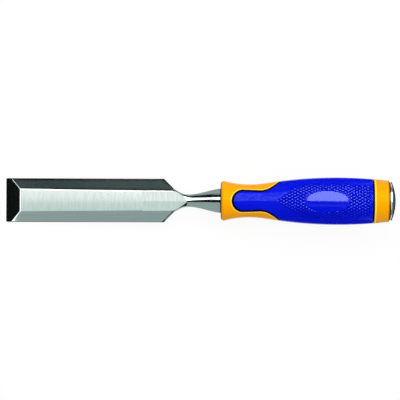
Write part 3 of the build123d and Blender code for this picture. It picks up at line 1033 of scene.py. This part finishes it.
def level(near, far, height):
    # the outline of a level card: from one Y to another at one height
    return [(near, height), (far, height)]


# cards on the floor at both ends of the tool: colour, an X with its outline of Y and height, and
# a second X with its outline
frontCards = {
    "cardBesideShoulder": (black, (112, [(17, 0.5), (22, 0.5), (22, 11)]),
                           (131, [(8, 0.5), (22, 0.5), (22, 11)])),
    "cardBeyondShoulder": ((0.05, 0.06, 0.06), (112, [(-17, 0.5), (-22, 0.5), (-22, 11)]),
                           (122, [(-13, 0.5), (-22, 0.5), (-22, 11)])),
    "cardBeforeEdge": (black, (-14, level(-200, 200, 3)), (-80, level(-200, 200, 125))),
}
rearCards = {
    "cardUnderCap": (black, (284, level(-60, 60, 0.5)), (300, level(-60, 60, 0.5))),
    "tealBehindCap": (teal, (300, level(-300, 300, 0.5)), (420, level(-300, 300, 0.5))),
    "tealBeyondCap": (teal, (420, level(-300, 300, 0.5)), (440, level(-300, 300, 260))),
    "whiteOverCap": ((1.6, 1.55, 1.4), (279, level(-60, 120, 84)), (286, level(-60, 120, 84))),
}
# level cards over the tool: colour, X from and to, Y from and to, height above the blade's back
overheadCards = {
    "whiteBeforeEdge": ((2.4, 2.4, 2.4), -24, 2, -60, 60, 50),
    "cardOverBevel": (black, -2, 124, 24, 84, 28),
    "duskOverBevel": ((0.034, 0.058, 0.056), -2, 124, 28.7, 36.5, 27.8),
    "paleOverFlat": ((1.08, 1.07, 1.07), 6, 107, -0.5, 11, 42),
    "dimOverFlat": ((0.7, 0.79, 0.77), 6, 107, -30, -0.5, 42),
    "paleOverFacet": ((1.06, 1.06, 1.06), 100, 132.8, -0.4, 8.3, 9),
    "dimOverFacet": ((0.73, 0.81, 0.79), 100, 132.8, -11, -0.4, 9),
    "blackBesideBand": (black, 30, 156, 38, 112, 60),
    "greyBesideBand": (stageForm["grey"], 30, 156, 112, 400, 60),
    "blackBeyondBand": (black, 30, 156, -17, 1.5, 60),
    "whiteOverHandle": ((7.2, 7.2, 7.2), 100, 460, 2.6, 384, 300),
}


def makeCard(name, shade, first, second, overBlade=False):
    # a card that only reflections see, ruled between two rows of points. A row is an x and an
    # outline of y and z, where z is measured from the floor, or from the blade's back
    rows = [[(x, y, z if overBlade else floorHeight(x) + z) for y, z in outline]
            for x, outline in (first, second)]
    count = len(first[1])
    faces = [(n, n + 1, count + n + 1, count + n) for n in range(count - 1)]
    material = newMaterial(name, lambda add: add("Emission", {"Color": (*shade, 1)}))
    stagePiece(name, rows[0] + rows[1], faces, material)


def makeSideCards():
    # each side of the blade has a low black strip against it and a grey field beyond, which
    # comes nearer at the neck, and the handle has a black flag that stands up on its far edge
    for side, name, far, high in ((1, "Beside", 300, 225), (-1, "Beyond", 150, 330)):
        strip = [(side * 17.0, 0.4), (side * 23, 0.4), (side * 23, 7)]
        field = [(side * 9, 0.2), (side * 300, 0.2), (side * 300, 120)]
        flag = [(side * 30, 0.5), (side * far, 0.5), (side * far, high)]
        makeCard("strip" + name + "Blade", black, (-6, strip), (115 + side * 3, strip))
        makeCard("grey" + name + "Neck", stageForm["grey"],
                 (-60, [(side * 24, 0.2)] + field[1:]), (157, field))
        makeCard("flag" + name + "Handle", black, (157.2, flag), (278, flag))


def makeWorld():
    # a plain grey room that the camera and reflections see as white
    world = bpy.data.worlds.new("studio")
    world.use_nodes = True
    world.node_tree.nodes.clear()
    add = partial(addNode, world.node_tree)
    grey = stageForm["fill"]
    colour = add("Mix", {
        0: lightPathShare(add), 6: (grey, grey, grey, 1), 7: (1, 1, 1, 1)}, data_type="RGBA")
    back = add("Background", {"Color": colour, "Strength": 1.0})
    add("OutputWorld", {"Surface": back})
    sceneNow.world = world


cameraForm = {
    "lens": 250.0,
    "sensor": 36,
    "width": 293.0,  # width of the view at the handle's axis
    "centreX": 142.1,
    "centreY": 0.5,
    "roll": 0.2,
}


def makeCamera():
    # straight above the tool, as far away as the lens needs for the view's width
    form = cameraForm
    camera = bpy.data.cameras.new("camera")
    camera.lens = form["lens"]
    camera.sensor_width = form["sensor"]
    camera.clip_end = 50
    holder = newObject("camera", camera)
    away = form["width"] * form["lens"] / form["sensor"]
    holder.location = (form["centreX"] * mm, form["centreY"] * mm, (axisHeight + away) * mm)
    holder.rotation_euler = (0, 0, math.radians(form["roll"]))
    sceneNow.camera = holder


makeFloor()
makeSoftbox()
makeTent()
makeSideCards()
for name, card in frontCards.items():
    makeCard(name, *card)
for name, (shade, startX, endX, near, far, height) in overheadCards.items():
    outline = level(near, far, height)
    makeCard(name, shade, (startX, outline), (endX, outline), overBlade=True)
for name, card in rearCards.items():
    makeCard(name, *card)
makeWorld()
makeCamera()
sceneNow.view_settings.view_transform = "Standard"
print("stage set")
